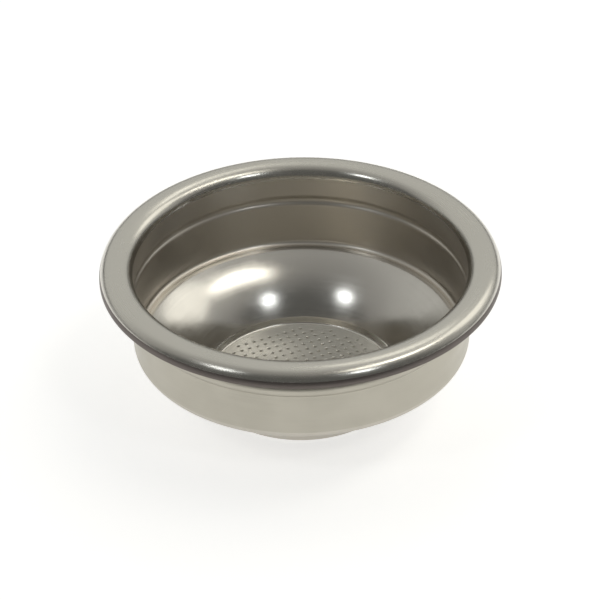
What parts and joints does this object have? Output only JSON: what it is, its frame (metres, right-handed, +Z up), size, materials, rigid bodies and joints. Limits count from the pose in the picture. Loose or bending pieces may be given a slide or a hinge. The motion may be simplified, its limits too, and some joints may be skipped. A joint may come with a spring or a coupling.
{
  "type": "espresso filter basket",
  "caption": "Round drawn steel filter basket with a rolled rim, a snap ridge in its straight wall, a ledge, a round bowl and a finely perforated floor.",
  "frame": {"origin": "middle of the floor's underside, where the basket stands", "axes": "+Z up along the axis of the cup, towards the rim; the basket is round, so X and Y are level and free"},
  "size_m": [0.07, 0.07, 0.0272],
  "materials": {
    "steel": "satin polished drawn stainless sheet"
  },
  "bodies": {
    "root": {"filter_basket": "steel"}
  },
  "joints": []
}
